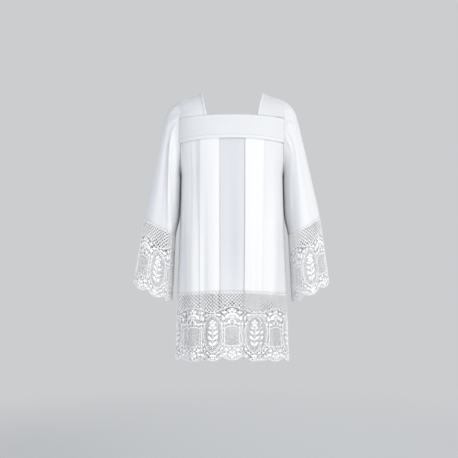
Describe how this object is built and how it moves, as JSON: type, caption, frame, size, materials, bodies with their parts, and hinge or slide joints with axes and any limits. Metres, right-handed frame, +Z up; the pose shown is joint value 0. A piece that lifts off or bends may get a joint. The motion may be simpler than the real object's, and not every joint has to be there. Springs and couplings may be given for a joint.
{
  "type": "surplice",
  "caption": "Lace-trimmed white surplice with a square neck, straight yokes, pressed pleats and wide sleeves, in the hollow form it has when worn.",
  "frame": {"origin": "midway between the shoulders, level with the ridge of the shoulders at the neck, where the wearer's shoulders carry it", "axes": "+Z up along the garment's length, front facing -Y, +X to the viewer's right"},
  "size_m": [0.6686, 0.3095, 0.9144],
  "materials": {
    "cotton_cloth": "fine matte white cotton, plain weave",
    "cotton_tape": "narrow matte white cotton tape, stitched down",
    "lace_thread": "matte white lace of corded thread and fine net"
  },
  "bodies": {
    "root": {"front_panel": "cotton_cloth", "back_panel": "cotton_cloth", "yoke_front": "cotton_cloth", "yoke_back": "cotton_cloth", "shoulder_left": "cotton_cloth", "shoulder_right": "cotton_cloth", "sleeve_left": "cotton_cloth", "sleeve_right": "cotton_cloth", "hem_lace_front": "lace_thread", "hem_lace_back": "lace_thread", "cuff_lace_left": "lace_thread", "cuff_lace_right": "lace_thread", "yoke_tape_front_top": "cotton_tape", "yoke_tape_front_bottom": "cotton_tape", "yoke_tape_back_top": "cotton_tape", "yoke_tape_back_bottom": "cotton_tape", "neck_tape_left": "cotton_tape", "neck_tape_right": "cotton_tape"}
  },
  "joints": []
}
